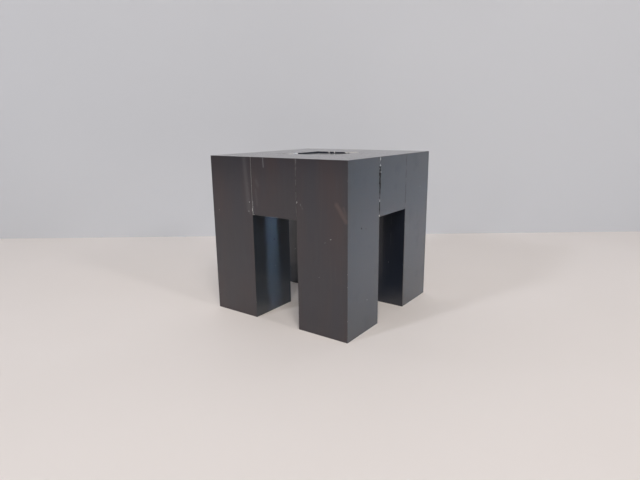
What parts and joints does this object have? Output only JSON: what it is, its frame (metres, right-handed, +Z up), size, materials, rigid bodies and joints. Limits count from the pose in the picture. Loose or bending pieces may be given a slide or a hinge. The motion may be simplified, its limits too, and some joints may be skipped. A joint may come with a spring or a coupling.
{
  "type": "magnetic desk sculpture",
  "caption": "Cube-shaped desk sculpture of dark metal blocks held together by magnets, with an arch through every side.",
  "frame": {"origin": "centre of the footprint, on the desk that the posts stand on", "axes": "+Z up, front faces -Y, +X to the right of the front"},
  "size_m": [0.0756, 0.0756, 0.0745],
  "materials": {
    "post_finish": "satin charcoal anodised, chipped to bare metal along the mating edges",
    "bridge_finish": "satin charcoal anodised, chipped to bare metal along the mating edges",
    "core_finish": "satin charcoal anodised",
    "magnet_plating": "nickel plated"
  },
  "bodies": {
    "core": {"core_block": "core_finish", "magnet_core_block_to_bridge_back": "magnet_plating", "magnet_core_block_to_bridge_front": "magnet_plating", "magnet_core_block_to_bridge_left": "magnet_plating", "magnet_core_block_to_bridge_right": "magnet_plating"},
    "bridge_front": {"bridge_front": "bridge_finish", "magnet_bridge_front_to_core_block": "magnet_plating", "magnet_bridge_front_to_post_front_left": "magnet_plating", "magnet_bridge_front_to_post_front_right": "magnet_plating"},
    "bridge_right": {"bridge_right": "bridge_finish", "magnet_bridge_right_to_core_block": "magnet_plating", "magnet_bridge_right_to_post_back_right": "magnet_plating", "magnet_bridge_right_to_post_front_right": "magnet_plating"},
    "bridge_back": {"bridge_back": "bridge_finish", "magnet_bridge_back_to_core_block": "magnet_plating", "magnet_bridge_back_to_post_back_left": "magnet_plating", "magnet_bridge_back_to_post_back_right": "magnet_plating"},
    "bridge_left": {"bridge_left": "bridge_finish", "magnet_bridge_left_to_core_block": "magnet_plating", "magnet_bridge_left_to_post_back_left": "magnet_plating", "magnet_bridge_left_to_post_front_left": "magnet_plating"},
    "post_front_left": {"magnet_post_front_left_to_bridge_front": "magnet_plating", "magnet_post_front_left_to_bridge_left": "magnet_plating", "post_front_left": "post_finish"},
    "post_front_right": {"magnet_post_front_right_to_bridge_front": "magnet_plating", "magnet_post_front_right_to_bridge_right": "magnet_plating", "post_front_right": "post_finish"},
    "post_back_left": {"magnet_post_back_left_to_bridge_back": "magnet_plating", "magnet_post_back_left_to_bridge_left": "magnet_plating", "post_back_left": "post_finish"},
    "post_back_right": {"magnet_post_back_right_to_bridge_back": "magnet_plating", "magnet_post_back_right_to_bridge_right": "magnet_plating", "post_back_right": "post_finish"}
  },
  "joints": [
    {"name": "bridge_front_pull", "type": "slide", "parent": "core", "child": "bridge_front", "axis": [0, -1, 0], "range_m": [0, 0.045]},
    {"name": "bridge_right_pull", "type": "slide", "parent": "core", "child": "bridge_right", "axis": [1, 0, 0], "range_m": [0, 0.045]},
    {"name": "bridge_back_pull", "type": "slide", "parent": "core", "child": "bridge_back", "axis": [0, 1, 0], "range_m": [0, 0.045]},
    {"name": "bridge_left_pull", "type": "slide", "parent": "core", "child": "bridge_left", "axis": [-1, 0, 0], "range_m": [0, 0.045]},
    {"name": "post_front_left_pull", "type": "slide", "parent": "core", "child": "post_front_left", "axis": [-0.7071, -0.7071, 0], "range_m": [0, 0.06]},
    {"name": "post_front_right_pull", "type": "slide", "parent": "core", "child": "post_front_right", "axis": [0.7071, -0.7071, 0], "range_m": [0, 0.06]},
    {"name": "post_back_left_pull", "type": "slide", "parent": "core", "child": "post_back_left", "axis": [-0.7071, 0.7071, 0], "range_m": [0, 0.06]},
    {"name": "post_back_right_pull", "type": "slide", "parent": "core", "child": "post_back_right", "axis": [0.7071, 0.7071, 0], "range_m": [0, 0.06]}
  ]
}
